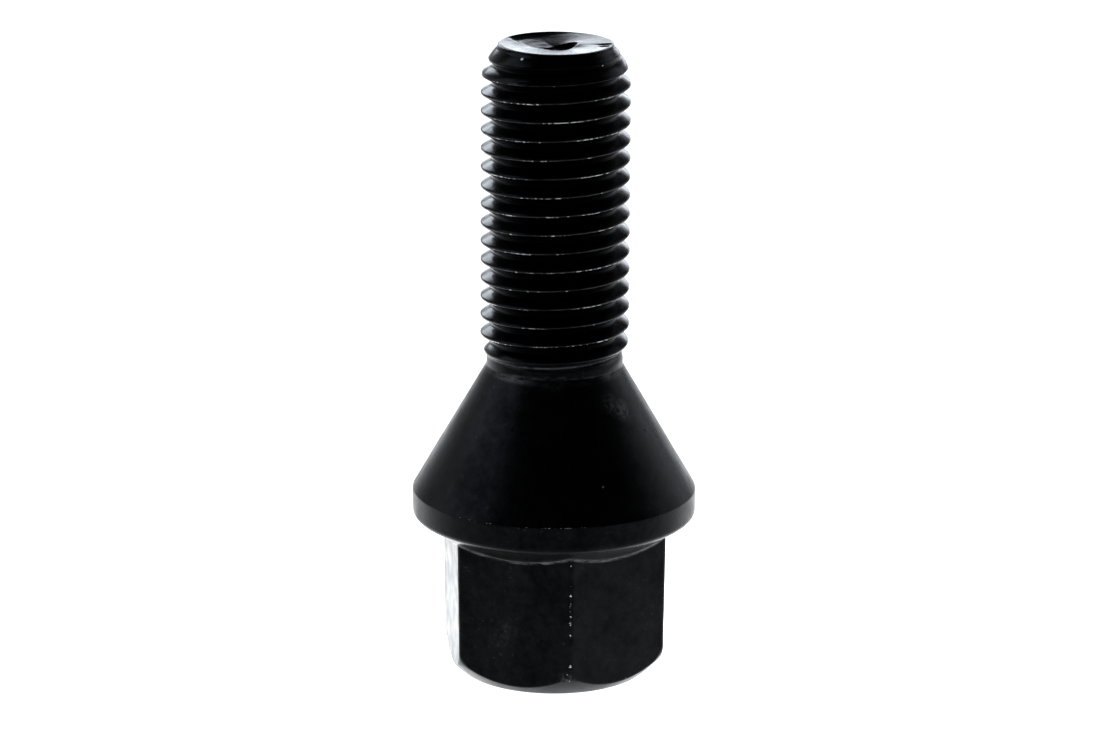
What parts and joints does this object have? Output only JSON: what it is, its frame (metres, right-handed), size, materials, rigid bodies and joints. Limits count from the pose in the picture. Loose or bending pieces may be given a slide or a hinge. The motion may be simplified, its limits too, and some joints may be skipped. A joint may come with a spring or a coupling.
{
  "type": "wheel bolt",
  "caption": "One-piece wheel bolt with a metric fine thread, a dished tip, a conical seat with a flange, and a hexagon head it stands on.",
  "frame": {"origin": "middle of the head's end face, the face that the bolt stands on", "axes": "+Z along the bolt's axis towards the thread's tip; +X out of the middle of one wrench flat; hexagon corners on +Y and -Y"},
  "size_m": [0.0227, 0.0226, 0.0514],
  "materials": {
    "black_steel": "black satin plating, worn bright on the thread's crests and edges"
  },
  "bodies": {
    "root": {"wheel_bolt": "black_steel"}
  },
  "joints": []
}
